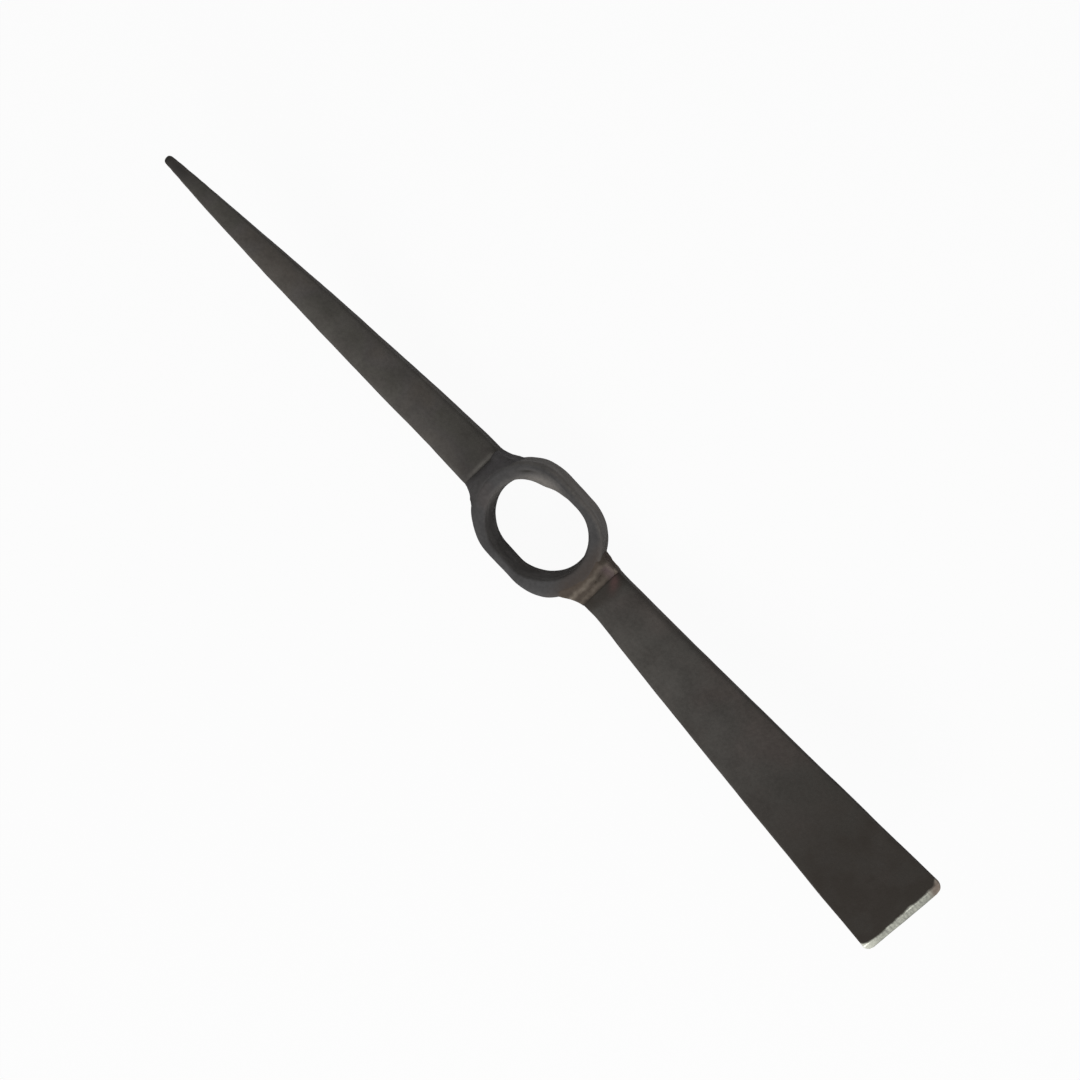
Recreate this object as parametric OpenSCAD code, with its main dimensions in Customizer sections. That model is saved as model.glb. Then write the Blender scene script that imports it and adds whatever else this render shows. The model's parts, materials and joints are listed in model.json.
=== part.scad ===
// Pick mattock head: an oval eye collar with a pick arm and a mattock blade welded to its ends.
// The origin is in the middle of the eye, on the collar's lower face. +X points to the blade,
// +Z along the handle, and left is +Y. Both arms rise from the collar, so the head stands on the
// collar's lower face.

/* [Eye collar] */
// Length of the eye at its mouth, along the head
eye_len = 53; // [48:0.5:64]
// Width of the eye at its mouth, across the head
eye_w = 42; // [36:0.5:46]
// How far the eye narrows on every side, from its mouth down to the lower face
eye_draft = 1; // [0.2:0.1:2]
// Thickness of the collar's cheeks, beside the eye
cheek_wall = 4.75; // [3:0.25:6]
// Thickness of the collar's ends, where the arms butt
end_wall = 8.5; // [7:0.5:14]
// Height of the collar, along the handle
collar_h = 36; // [32:0.5:50]
// Chamfer round the collar's outer rims
rim_chamfer = 1.25; // [0.5:0.25:2]
// Chamfer round the eye's mouth
mouth_chamfer = 0.75; // [0.25:0.25:1.25]
// Width of the flat seat ground on each end of the collar
seat_w = 11; // [8:0.5:14]

/* [Pick arm] */
// Reach of the point from the middle of the eye
pick_reach = 248.5; // [180:1:320]
// Width at the root
pick_root_w = 22.5; // [18:0.5:26]
// Thickness at the root, along the handle
pick_root_t = 25; // [21:0.5:28]
// Width of the point
pick_tip_w = 4.4; // [3:0.2:8]
// Thickness of the point
pick_tip_t = 4.4; // [3:0.2:8]
// How far each side stands outside a straight taper, half way along
pick_swell = 1.25; // [0:0.25:2]
// Rise of the point above the middle of the collar
pick_rise = 46; // [20:1:70]
// Round on the long edges at the root
pick_round = 3.5; // [1:0.5:5]
// Length of the bevelled nose that the weld fills round
pick_groove = 6.5; // [4:0.5:9]
// How far the nose is drawn in above and below
pick_nose_step = 7; // [4:0.5:8]

/* [Mattock blade] */
// Reach of the cutting edge from the middle of the eye
blade_reach = 254.8; // [180:1:320]
// Width at the root
blade_root_w = 23.5; // [18:0.5:26]
// Thickness at the root, along the handle
blade_root_t = 19; // [16:0.5:24]
// Width of the cutting edge
blade_edge_w = 48; // [36:0.5:70]
// Thickness where the ground bevel starts
blade_edge_t = 3.6; // [2.5:0.1:6]
// How far each side is drawn in from a straight flare, half way along
blade_waist = 0; // [0:0.25:2]
// How far each face is drawn in from a straight taper, half way along
blade_dish = 0.9; // [0:0.1:1.5]
// Rise of the cutting edge above the middle of the collar
blade_rise = 46; // [20:1:70]
// Round on the long edges at the root
blade_round = 3; // [1:0.5:5]
// Length of the bevel ground on the upper face, at the edge
bevel_len = 3.2; // [2:0.2:8]
// Thickness left at the cutting edge
edge_land = 0.7; // [0.4:0.1:1.5]
// Round of the blade's two corners
edge_round = 3; // [1:0.2:6]
// How far the cutting edge is out of square, in degrees
edge_skew = 3; // [0:0.5:6]
// Length of the bevelled nose that the welds fill round
blade_groove = 8; // [5:0.5:10]
// How far the nose is drawn in above and below
blade_nose_step = 5; // [3:0.5:6]

/* [Pick welds] */
// How far the flank welds stop short of the end of the bevel
pick_toe_gap = 0.5; // [0.2:0.1:2]
// Half width of the flank welds where they run into the collar
pick_spread = 17; // [14:0.5:20]
// How far the welds above and below stay under the pick's faces
pick_crease = 0.7; // [0.3:0.1:1.5]

/* [Blade welds] */
// How far the left flank weld stops short of the end of the bevel
blade_toe_gap_left = 4; // [0.2:0.1:4.5]
// Half width of the left flank weld where it runs into the collar
blade_spread_left = 15; // [14:0.5:20]
// How far the right flank weld stops short of the end of the bevel
blade_toe_gap_right = 0.5; // [0.2:0.1:4]
// Half width of the right flank weld where it runs into the collar
blade_spread_right = 18; // [14:0.5:20]
// Width of the weld run along the collar
inner_run_w = 3.6; // [3:0.1:4.5]
// Height of the crown of the weld run along the collar
inner_crown = 0.9; // [0.5:0.1:1.2]
// Height of the crown of the weld run along the blade
outer_crown = 1; // [0.5:0.1:1.4]
// How far the valley between the two runs lies above the blade's face
valley_h = 1.2; // [0.5:0.1:2]
// How far the toe of the outer run lies below the blade's face
blade_crease = 0.4; // [0.2:0.1:1]

/* [All welds] */
// Angle between a flank weld and the arm's side, at its toe
toe_angle = 10; // [4:1:14]
// How far a flank weld bites into the collar's wall
weld_bite = 0.2; // [0.1:0.05:0.5]
// How far the welds stay below the collar's outer wall
weld_drop = 0.8; // [0.3:0.1:2]

/* [Hidden] */
$fn = 96;

scale_black = "#46423e";
weld_tan = "#6b6157";

// Collar, worked out from the eye and its walls
collar_len = eye_len + 2 * end_wall;
collar_w = eye_w + 2 * cheek_wall;
collar_r = collar_w / 2;
end_centre = (collar_len - collar_w) / 2;
seat_back = sqrt(pow(collar_r, 2) - pow(seat_w / 2, 2));
seat_x = end_centre + seat_back;
wall_top = collar_h / 2 - rim_chamfer - weld_drop;
overrun = 2;
far = collar_len + collar_w + collar_h;

// Arms, measured outwards from the seats
pick_len = pick_reach - seat_x;
blade_len = blade_reach - seat_x;
pick_straight = 2 * pick_groove;
blade_straight = 2 * blade_groove;
pick_nose_h = pick_root_t - 2 * pick_nose_step;
blade_nose_h = blade_root_t - 2 * blade_nose_step;

// The stretch over which each arm bends up from its root
pick_bend_share = 0.2;
blade_bend_share = 0.06;

// Steps of the faceted forms
corner_steps = 4;
arm_steps = 26;
end_steps = 6;
arc_steps = 8;
last_cap_angle = 80;

// A size that runs from one end of an arm to the other, swelling on both sides half way
function drawn(root, end, share, swell) =
    root + (end - root) * share + 8 * swell * share * (1 - share);

// The share of an arm's rise at a share of its length: level at the root, then nearly straight
function risen(share, bend_share) =
    (norm([share, bend_share]) - bend_share) / (norm([1, bend_share]) - bend_share);

// A rounded rectangle across the arm, leaning forwards by a share of its own width
function ring(x, w, low, high, round, lean = 0) =
    [for (corner = [0 : 3], step = [0 : corner_steps])
        let (
            angle = 90 * (corner + step / corner_steps),
            side_y = corner == 0 || corner == 3 ? 1 : -1,
            side_z = corner < 2 ? 1 : -1,
            y = side_y * (w / 2 - round) + round * cos(angle),
            z = (low + high) / 2 + side_z * ((high - low) / 2 - round) + round * sin(angle)
        )
        [x + lean * y, y, z]
    ];

// The same rectangle centred on a height, with its round in proportion to its smaller size
function arm_ring(x, w, t, mid, round_share) =
    ring(x, w, mid - t / 2, mid + t / 2, round_share * min(w, t));

// Shares of an arm's taper, from the end of its straight root outwards
function arm_shares() = [for (step = [1 : arm_steps]) step / arm_steps];

pick_round_share = pick_round / min(pick_root_w, pick_root_t);
blade_round_share = blade_round / min(blade_root_w, blade_root_t);

// The straight root of an arm: its nose, the end of its bevel and the start of its taper
function root_rings(w, t, nose_h, groove, straight, round_share) = [
    arm_ring(0, seat_w, nose_h, 0, round_share),
    arm_ring(groove, w, t, 0, round_share),
    arm_ring(straight, w, t, 0, round_share)
];

function pick_root_rings() =
    root_rings(pick_root_w, pick_root_t, pick_nose_h, pick_groove, pick_straight, pick_round_share);

function blade_root_rings() =
    root_rings(
        blade_root_w, blade_root_t, blade_nose_h, blade_groove, blade_straight, blade_round_share
    );

function pick_ring(share, x, shrink) =
    arm_ring(
        x,
        shrink * drawn(pick_root_w, pick_tip_w, share, pick_swell),
        shrink * drawn(pick_root_t, pick_tip_t, share, pick_swell),
        pick_rise * risen(share, pick_bend_share),
        pick_round_share + (1 - shrink) * (1 / 2 - pick_round_share)
    );

// The taper, and then the rounded point
function pick_rings() =
    let (
        cap = pick_tip_w / 2,
        taper = pick_len - cap - pick_straight
    )
    concat(
        pick_root_rings(),
        [for (share = arm_shares()) pick_ring(share, pick_straight + share * taper, 1)],
        [for (step = [1 : end_steps])
            let (angle = last_cap_angle * step / end_steps)
            pick_ring(1, pick_len - cap + cap * sin(angle), cos(angle))
        ]
    );

// One ring of the blade, with what its corners and its bevel take off near the edge
function blade_ring(x) =
    let (
        taper = blade_len - blade_straight,
        share = (x - blade_straight) / taper,
        to_edge = blade_len - x,
        w = drawn(blade_root_w, blade_edge_w, share, -blade_waist),
        t = drawn(blade_root_t, blade_edge_t, share, -blade_dish),
        mid = blade_rise * risen(share, blade_bend_share),
        into_corner = max(0, edge_round - to_edge),
        inset = edge_round - sqrt(pow(edge_round, 2) - pow(into_corner, 2)),
        ground = (t - edge_land) * max(0, 1 - to_edge / bevel_len),
        round = blade_round_share * (t - ground)
    )
    ring(
        x, w - 2 * inset, mid - t / 2, mid + t / 2 - ground, round,
        tan(edge_skew) * pow(share, 2)
    );

// The taper, and then the end with its corners and bevel
function blade_rings() =
    let (
        end_zone = max(bevel_len, edge_round),
        taper = blade_len - end_zone - blade_straight
    )
    concat(
        blade_root_rings(),
        [for (share = arm_shares()) blade_ring(blade_straight + share * taper)],
        [for (step = [1 : end_steps]) blade_ring(blade_len - end_zone * cos(90 * step / end_steps))]
    );

// A closed skin over a row of rings that have the same number of points, with flat ends
module skin(rings) {
    count = len(rings[0]);
    last = len(rings) - 1;
    sides = [
        for (row = [0 : last - 1], i = [0 : count - 1])
            let (
                a = row * count + i,
                b = row * count + (i + 1) % count
            )
            each [[a, a + count, b + count], [a, b + count, b]]
    ];
    start = [for (i = [0 : count - 1]) i];
    end = [for (i = [count - 1 : -1 : 0]) last * count + i];
    polyhedron([for (one = rings) each one], concat([start], sides, [end]));
}

// An upright oval whose outline grows by the same amount on every side from bottom to top
module oval(len, w, h, grow = 0) {
    centre = (len - w) / 2;
    for (x = [-centre, centre])
        translate([x, 0, 0])
            cylinder(h = h, r1 = w / 2, r2 = w / 2 + grow);
    rotate([90, 0, 90])
        translate([0, 0, -centre])
            linear_extrude(2 * centre)
                polygon([[-w / 2, 0], [w / 2, 0], [w / 2 + grow, h], [-w / 2 - grow, h]]);
}

// The collar before its eye is opened, with chamfered rims and a flat seat on each end
module collar_blank() {
    difference() {
        union() {
            oval(collar_len - 2 * rim_chamfer, collar_w - 2 * rim_chamfer, rim_chamfer, rim_chamfer);
            translate([0, 0, rim_chamfer])
                oval(collar_len, collar_w, collar_h - 2 * rim_chamfer);
            translate([0, 0, collar_h - rim_chamfer])
                oval(collar_len, collar_w, rim_chamfer, -rim_chamfer);
        }
        for (end = [0, 1])
            mirror([end, 0, 0])
                translate([seat_x, -collar_w / 2, -overrun])
                    cube([collar_len, collar_w, collar_h + 2 * overrun]);
    }
}

// The tapered eye, cut past both faces, and the chamfer of its mouth
module eye_cut() {
    draft = eye_draft / collar_h;
    low = eye_draft + overrun * draft;
    translate([0, 0, -overrun])
        oval(
            eye_len - 2 * low, eye_w - 2 * low, collar_h + 2 * overrun,
            draft * (collar_h + 2 * overrun)
        );
    translate([0, 0, collar_h - mouth_chamfer])
        oval(eye_len, eye_w, mouth_chamfer + overrun, mouth_chamfer + overrun);
}

module eye_collar() {
    color(scale_black)
        difference() {
            collar_blank();
            eye_cut();
        }
}

// Places at the two seats: X runs outwards along the arm, Z from the middle of the collar
module at_blade_seat() {
    translate([seat_x, 0, collar_h / 2])
        children();
}

module at_pick_seat() {
    mirror([1, 0, 0])
        at_blade_seat()
            children();
}

module pick_arm() {
    color(scale_black)
        at_pick_seat()
            skin(pick_rings());
}

module mattock_blade() {
    color(scale_black)
        at_blade_seat()
            skin(blade_rings());
}

// Points on an arc from a to b, with its crown to the left of the way
function arc(a, b, crown) =
    let (
        span = norm(b - a),
        along = (b - a) / span,
        aside = [-along[1], along[0]],
        r = pow(span, 2) / (8 * crown) + crown / 2,
        half = asin(span / (2 * r))
    )
    [for (step = [0 : arc_steps])
        let (angle = half * (2 * step / arc_steps - 1))
        a + along * (span / 2 + r * sin(angle)) + aside * (crown - r * (1 - cos(angle)))
    ];

// The same outline on the other side of the X axis, run the other way
function flipped(points) = [for (i = [len(points) - 1 : -1 : 0]) [points[i][0], -points[i][1]]];

// One flank weld in plan: a hollow arc from its toe on the arm to its heel in the collar's wall
function flank(w, leg, spread) =
    let (
        toe = [leg, w / 2],
        inner_r = collar_r - weld_bite,
        heel = [sqrt(pow(inner_r, 2) - pow(spread, 2)) - seat_back, spread],
        chord = heel - toe,
        slope = atan2(chord[1], -chord[0])
    )
    concat(
        arc(toe, heel, norm(chord) / 2 * tan((slope - toe_angle) / 2)),
        [[-seat_back, spread]]
    );

// The welds in plan: both flanks, each with its toe gap and spread, and the arm's end between them
module weld_plan(w, groove, left, right) {
    polygon(concat(
        [[groove, -w / 2], [groove, w / 2]],
        flank(w, groove - left[0], left[1]),
        flipped(flank(w, groove - right[0], right[1]))
    ));
}

// Pick weld from the side: a straight slope from the collar's wall down to the crease
module pick_weld_side() {
    upper = [
        [-seat_back, wall_top],
        [0, wall_top],
        [pick_groove, pick_root_t / 2 - pick_crease]
    ];
    polygon(concat(upper, flipped(upper)));
}

// Blade weld from the side: a run along the collar, a valley and a run along the blade
module blade_weld_side() {
    heel = [0, wall_top];
    valley = [inner_run_w, blade_root_t / 2 + valley_h];
    toe = [blade_groove, blade_root_t / 2 - blade_crease];
    upper = concat(
        [[-seat_back, wall_top]],
        arc(heel, valley, inner_crown),
        arc(valley, toe, outer_crown)
    );
    polygon(concat(upper, flipped(upper)));
}

// The quarter of the joint that one run fills, parted from its neighbours along the mitres
module weld_quarter(side, w, t, nose_h) {
    rise = (t - nose_h) / (w - seat_w);
    y = seat_w / 2;
    z = nose_h / 2;
    upper = [[-y, z], [y, z], [y + far, z + far * rise], [-y - far, z + far * rise]];
    left = [[y, -z], [y + far, -z - far * rise], [y + far, z + far * rise], [y, z]];
    rotate([90, 0, 90])
        translate([0, 0, -seat_back])
            linear_extrude(far)
                if (side == "top")
                    polygon(upper);
                else if (side == "bottom")
                    mirror([0, 1])
                        polygon(upper);
                else if (side == "left")
                    polygon(left);
                else
                    mirror([1, 0])
                        polygon(left);
}

// The collar seen from a seat
module collar_at_seat() {
    translate([-seat_x, 0, -collar_h / 2])
        collar_blank();
}

// An outline drawn from the side, run right across the joint
module across_joint() {
    rotate([90, 0, 0])
        translate([0, 0, -far / 2])
            linear_extrude(far)
                children();
}

// An outline drawn in plan, run through the whole height of the joint
module through_joint() {
    translate([0, 0, -far / 2])
        linear_extrude(far)
            children();
}

// What one run fills round the pick's nose
module pick_weld(side) {
    at_pick_seat()
        difference() {
            intersection() {
                through_joint()
                    weld_plan(
                        pick_root_w, pick_groove,
                        [pick_toe_gap, pick_spread], [pick_toe_gap, pick_spread]
                    );
                across_joint()
                    pick_weld_side();
                weld_quarter(side, pick_root_w, pick_root_t, pick_nose_h);
            }
            collar_at_seat();
            skin(pick_root_rings());
        }
}

// What one run fills round the blade's nose, between two distances from the seat
module blade_weld(side, from, to) {
    at_blade_seat()
        difference() {
            intersection() {
                through_joint()
                    weld_plan(
                        blade_root_w, blade_groove,
                        [blade_toe_gap_left, blade_spread_left],
                        [blade_toe_gap_right, blade_spread_right]
                    );
                across_joint()
                    blade_weld_side();
                weld_quarter(side, blade_root_w, blade_root_t, blade_nose_h);
                translate([from, -far / 2, -far / 2])
                    cube([to - from, far, far]);
            }
            collar_at_seat();
            skin(blade_root_rings());
        }
}

module pick_weld_top() { color(scale_black) pick_weld("top"); }
module pick_weld_bottom() { color(scale_black) pick_weld("bottom"); }
module pick_weld_left() { color(scale_black) pick_weld("left"); }
module pick_weld_right() { color(scale_black) pick_weld("right"); }
module blade_weld_top_inner() { color(weld_tan) blade_weld("top", -seat_back, inner_run_w); }
module blade_weld_top_outer() { color(weld_tan) blade_weld("top", inner_run_w, blade_groove); }
module blade_weld_bottom_inner() { color(weld_tan) blade_weld("bottom", -seat_back, inner_run_w); }
module blade_weld_bottom_outer() { color(weld_tan) blade_weld("bottom", inner_run_w, blade_groove); }
module blade_weld_left() { color(scale_black) blade_weld("left", -seat_back, blade_groove); }
module blade_weld_right() { color(scale_black) blade_weld("right", -seat_back, blade_groove); }

eye_collar();
pick_arm();
mattock_blade();
pick_weld_top();
pick_weld_bottom();
pick_weld_left();
pick_weld_right();
blade_weld_top_inner();
blade_weld_top_outer();
blade_weld_bottom_inner();
blade_weld_bottom_outer();
blade_weld_left();
blade_weld_right();
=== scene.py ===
# %% [markdown]
# # A pick mattock head
# A head for digging in hard ground: an oval eye for the handle, a pick on one side and a chisel
# blade on the other. It is built up from three forgings that are welded together. The packed
# model gives every piece its place, and this lesson gives each one its worked surface and its
# finish. All lengths below are in millimetres, as on a workshop drawing, and become metres
# when a piece is handed over.

# %% Load the frame
import bpy
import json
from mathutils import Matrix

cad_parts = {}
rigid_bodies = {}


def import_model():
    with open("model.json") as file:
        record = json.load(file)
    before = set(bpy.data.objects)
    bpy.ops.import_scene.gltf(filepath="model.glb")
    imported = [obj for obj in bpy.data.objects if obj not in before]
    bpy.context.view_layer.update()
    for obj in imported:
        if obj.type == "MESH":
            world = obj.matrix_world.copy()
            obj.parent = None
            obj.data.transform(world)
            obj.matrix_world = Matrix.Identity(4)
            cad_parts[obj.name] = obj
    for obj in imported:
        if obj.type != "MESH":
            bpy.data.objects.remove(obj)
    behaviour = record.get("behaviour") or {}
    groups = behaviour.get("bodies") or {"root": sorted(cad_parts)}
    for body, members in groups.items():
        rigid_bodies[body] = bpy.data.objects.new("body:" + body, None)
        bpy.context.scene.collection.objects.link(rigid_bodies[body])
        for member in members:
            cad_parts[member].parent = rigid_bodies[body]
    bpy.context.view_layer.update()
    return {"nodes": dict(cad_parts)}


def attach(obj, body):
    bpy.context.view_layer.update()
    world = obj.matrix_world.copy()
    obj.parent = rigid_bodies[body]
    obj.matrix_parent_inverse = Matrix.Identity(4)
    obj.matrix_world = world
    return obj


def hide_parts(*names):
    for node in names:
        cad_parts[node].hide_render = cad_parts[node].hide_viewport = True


for leftover in list(bpy.data.objects):
    bpy.data.objects.remove(leftover)
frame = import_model()
print("nodes:", sorted(frame["nodes"]))

# %% [markdown]
# ## The camera
# The photograph looks down on the head from a little to one side, so the eye shows a strip of
# its far wall. A camera could be aimed with a constraint, but three axes written out say
# exactly how it leans and how far it is rolled: the head lies across the picture's diagonal.

# %% Camera
import math
from mathutils import Matrix, Vector

MM = 0.001
image_px, focal_px, sensor_w = 1080, 3108.8, 36
aim, distance = Vector((4.8, -2.9, 36.0)), 1500.0
lean_left, lean_forward = math.radians(7.7), math.radians(0.3)
# How far the blade's direction goes to the right in the picture, and how far down
across, along = 0.6966, 0.7174

back = Vector((
    math.sin(lean_forward),
    math.sin(lean_left) * math.cos(lean_forward),
    math.cos(lean_left) * math.cos(lean_forward),
))
level_x = (Vector((1, 0, 0)) - back * back.x).normalized()
level_y = back.cross(level_x)
right = across * level_x + along * level_y
up = across * level_y - along * level_x

camera = bpy.data.objects.new("camera", bpy.data.cameras.new("camera"))
camera.data.sensor_width = sensor_w
camera.data.lens = focal_px / image_px * sensor_w
camera.matrix_world = (
    Matrix.Translation((aim + distance * back) * MM)
    @ Matrix((right, up, back)).transposed().to_4x4()
)
bpy.context.scene.collection.objects.link(camera)
bpy.context.scene.camera = camera
print("camera at", [round(x, 3) for x in camera.location], "lens", round(camera.data.lens, 1))

# %% [markdown]
# ## Colours and nodes
# Colours are written as the sRGB values that a colour picker shows, and Blender's sockets take
# linear light, so one function converts them. A second one adds a node with its settings and
# its links. Texture scales are worked out from the size of a feature on the real surface.

# %% Colour and node helpers
def linear(hex_colour):
    """An sRGB hex colour in linear light, with full alpha."""
    def channel(c):
        return c / 12.92 if c <= 0.04045 else ((c + 0.055) / 1.055) ** 2.4
    parts = [int(hex_colour[i:i + 2], 16) / 255 for i in (0, 2, 4)]
    return (*map(channel, parts), 1.0)


def empty_tree(owner):
    """The node tree of a material or a world, with nothing in it."""
    owner.use_nodes = True
    owner.node_tree.nodes.clear()
    return owner.node_tree


def add(tree, kind, inputs=None, **settings):
    """Adds a node. Each input is a value, or another node's output that is linked to it."""
    node = tree.nodes.new("ShaderNode" + kind)
    for name, value in settings.items():
        setattr(node, name, value)
    for socket, value in (inputs or {}).items():
        if isinstance(value, bpy.types.NodeSocket):
            tree.links.new(value, node.inputs[socket])
        else:
            node.inputs[socket].default_value = value
    return node


def per_mm(size):
    """The scale of a texture whose features are that many millimetres wide."""
    return 1 / (size * MM)


print("mid grey in linear light:", [round(x, 3) for x in linear("808080")])

# %% [markdown]
# ## Light, ground and background
# The photograph has a plain white ground and soft light that comes mostly from the picture's
# lower edge. One large lamp gives that side its light and the world fills the rest, at a level
# where a colour renders about as it is written. The ground looks white because camera, gloss
# and transmission rays see it so, and a share of plain diffuse keeps the head's soft shadow.

# %% World
white, white_strength, fill_strength = (1, 1, 1, 1), 1.0, 0.45


def seen(tree):
    """1 on rays that show in the picture, straight, by gloss or through glass, and else 0."""
    rays = add(tree, "LightPath").outputs
    shown = rays["Is Camera Ray"]
    for kind in ("Is Glossy Ray", "Is Transmission Ray"):
        shown = add(tree, "Math", {0: shown, 1: rays[kind]}, operation="MAXIMUM").outputs[0]
    return shown


world = bpy.data.worlds.new("studio")
bpy.context.scene.world = world
tree = empty_tree(world)
level = add(tree, "MapRange", {
    "Value": seen(tree), "To Min": fill_strength, "To Max": white_strength}).outputs[0]
sky = add(tree, "Background", {"Color": white, "Strength": level}).outputs[0]
add(tree, "OutputWorld", {"Surface": sky})
bpy.context.scene.view_settings.view_transform = "Standard"
print("world:", len(tree.nodes), "nodes")

# %% Key lamp
lamp_climb = math.radians(42)
lamp_away, lamp_size, lamp_watts = 1400, 800, 14

lamp_way = Vector((
    along * math.cos(lamp_climb), -across * math.cos(lamp_climb), math.sin(lamp_climb)
))
lamp = bpy.data.objects.new("key_lamp", bpy.data.lights.new("key_lamp", "AREA"))
lamp.data.shape = "DISK"
lamp.data.size = lamp_size * MM
lamp.data.energy = lamp_watts
lamp.location = lamp_away * MM * lamp_way
lamp.rotation_euler = lamp_way.to_track_quat("Z", "Y").to_euler()
bpy.context.scene.collection.objects.link(lamp)
print("key lamp at", [round(x, 2) for x in lamp.location])

# %% Ground
import bmesh

ground_half, ground_below = 6000, 0.1
ground_grey, ground_whiteness = "c0c0c0", 0.95

# White card: matt and even, so bright that only the head's soft shadow shows on it
white_ground = bpy.data.materials.new("white_ground")
tree = empty_tree(white_ground)
shaded = add(tree, "BsdfDiffuse", {"Color": linear(ground_grey)}).outputs[0]
bright = add(tree, "Emission", {"Color": white, "Strength": white_strength}).outputs[0]
pale = add(tree, "MixShader", {0: ground_whiteness, 1: shaded, 2: bright}).outputs[0]
ground_look = add(tree, "MixShader", {0: seen(tree), 1: shaded, 2: pale}).outputs[0]
add(tree, "OutputMaterial", {"Surface": ground_look})

bm = bmesh.new()
bmesh.ops.create_grid(bm, x_segments=2, y_segments=2, size=ground_half * MM)
mesh = bpy.data.meshes.new("ground")
bm.to_mesh(mesh)
bm.free()
mesh.materials.append(white_ground)
ground = bpy.data.objects.new("ground", mesh)
ground.location.z = -ground_below * MM
bpy.context.scene.collection.objects.link(ground)
print("ground:", tuple(round(x, 1) for x in ground.dimensions))

# %% [markdown]
# ## Forge-scaled steel
# The forgings are carbon steel, black from the fire. The scale on them is an iron oxide: dark,
# dull and a little warm, in soft patches that lean to brown, olive or grey. It could be one
# noise on one colour, but a real surface varies at several sizes at once: patches as wide as a
# hammer's face, blotches inside them and fine grain. Stains then lie where the mesh says so, by
# attributes on its vertices: soot from the fire, which also lays painted shade in creases, rust
# by the welds, and wear on rubbed edges, which also lays painted light and painted highlights.

# %% Mottled scale
# Each noise has a size, a level of detail and a roughness
patches_noise, blotches_noise, grain_noise = (32, 2, 0.5), (11, 3, 0.55), (1.7, 3, 0.6)
darkest_patch, palest_patch = 0.34, 0.66
# Blotches and grain add up to about 1, and shade the colour by a share
usual_sum, sum_spread, shade_spread = 1.0, 0.3, 0.16
stain_gain = 2.0


def mottle(tree, tones):
    """The colour of clean scale in soft patches, with the blotches and the grain under it."""
    place = add(tree, "TexCoord").outputs["Object"]
    patches, blotches, grain = [
        add(tree, "TexNoise", {
            "Vector": place, "Scale": per_mm(size), "Detail": detail, "Roughness": rough}).outputs["Fac"]
        for size, detail, rough in (patches_noise, blotches_noise, grain_noise)]
    ramp = add(tree, "ValToRGB", {"Fac": patches})
    stops = ramp.color_ramp.elements
    stops[0].position, stops[0].color = darkest_patch, linear(tones[0])
    stops[1].position, stops[1].color = palest_patch, linear(tones[-1])
    for number, tone in enumerate(tones[1:-1], start=1):
        share = number / (len(tones) - 1)
        stops.new(darkest_patch + (palest_patch - darkest_patch) * share).color = linear(tone)
    uneven = add(tree, "Math", {0: blotches, 1: grain}, operation="ADD").outputs[0]
    shade = add(tree, "MapRange", {
        "Value": uneven, "From Min": usual_sum - sum_spread, "From Max": usual_sum + sum_spread,
        "To Min": 1 - shade_spread, "To Max": 1 + shade_spread}).outputs[0]
    colour = add(tree, "Mix", {"Factor": 1.0, 6: ramp.outputs[0], 7: shade},
                 data_type="RGBA", blend_type="MULTIPLY").outputs[2]
    return colour, blotches, grain


def stained(tree, colour, attribute, stain, ragged):
    """Lets a stain show where an attribute of the mesh says so, with a ragged border."""
    amount = add(tree, "Attribute", attribute_name=attribute).outputs["Fac"]
    torn = add(tree, "Math", {0: amount, 1: ragged}, operation="MULTIPLY").outputs[0]
    share = add(tree, "Math", {0: torn, 1: stain_gain}, operation="MULTIPLY", use_clamp=True).outputs[0]
    return add(tree, "Mix", {"Factor": share, 6: colour, 7: linear(stain)},
               data_type="RGBA").outputs[2]


print("patches, blotches and grain in mm:", patches_noise[0], blotches_noise[0], grain_noise[0])

# %% Forge scale
roughest, smoothest, scale_gloss = 0.95, 0.8, 0.1
dark_blotch, pale_blotch = 0.3, 0.7
pit_depth, pit_strength = 0.25, 0.5


def forge_scale(name, tones, soot, rust, worn_and_lit):
    """Steel under forge scale, dull and pitted, in its clean tones and its three stains. The soot stain also
    gives painted shade, and the wear stain painted light.
    """
    material = bpy.data.materials.new(name)
    tree = empty_tree(material)
    colour, blotches, grain = mottle(tree, tones)
    colour = stained(tree, colour, "soot", soot, blotches)
    colour = stained(tree, colour, "rust", rust, blotches)
    relief = add(tree, "Math", {0: grain, 1: blotches}, operation="ADD").outputs[0]
    rubbed_and_lit = add(tree, "Math", {0: relief, 1: 0.5}, operation="MULTIPLY").outputs[0]
    colour = stained(tree, colour, "wear", worn_and_lit, rubbed_and_lit)
    dull = add(tree, "MapRange", {
        "Value": blotches, "From Min": dark_blotch, "From Max": pale_blotch,
        "To Min": roughest, "To Max": smoothest}).outputs[0]
    pits = add(tree, "Bump", {
        "Height": relief, "Strength": pit_strength, "Distance": pit_depth * MM}).outputs[0]
    shader = add(tree, "BsdfPrincipled", {
        "Base Color": colour, "Roughness": dull, "Normal": pits, "Specular IOR Level": scale_gloss})
    add(tree, "OutputMaterial", {"Surface": shader.outputs[0]})
    print(name, "has", len(tree.nodes), "nodes")
    return material


# Scale as it comes from the fire: a warm brown black without shine, a touch paler at its corners, and paler
# still where painted light lies on its upper face
pick_steel = forge_scale(
    "forge_scaled_steel", tones=("3f3c39", "43413d", "454240", "484440"),
    soot="353331", rust="51403a", worn_and_lit="5c5955")
# The same scale after much handling: a cooler grey that turns pale where it is rubbed through, and where
# painted light lies on the left cheek and in the eye; its soot tone is painted shade in the crease
collar_steel = forge_scale(
    "rubbed_and_lit_scaled_steel", tones=("474646", "4a4949", "4b4a4a", "4e4a49"),
    soot="34322f", rust="463c35", worn_and_lit="827d78")
# Weld metal that was heated again: as dull as the scale, and a shade greyer; its soot tone is painted shade
# in the neck's crease
scaled_weld = forge_scale(
    "scaled_weld_metal", tones=("4b494a", "4e4c4c", "514f4e"),
    soot="302e2c", rust="4f433c", worn_and_lit="5c5955")

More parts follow.
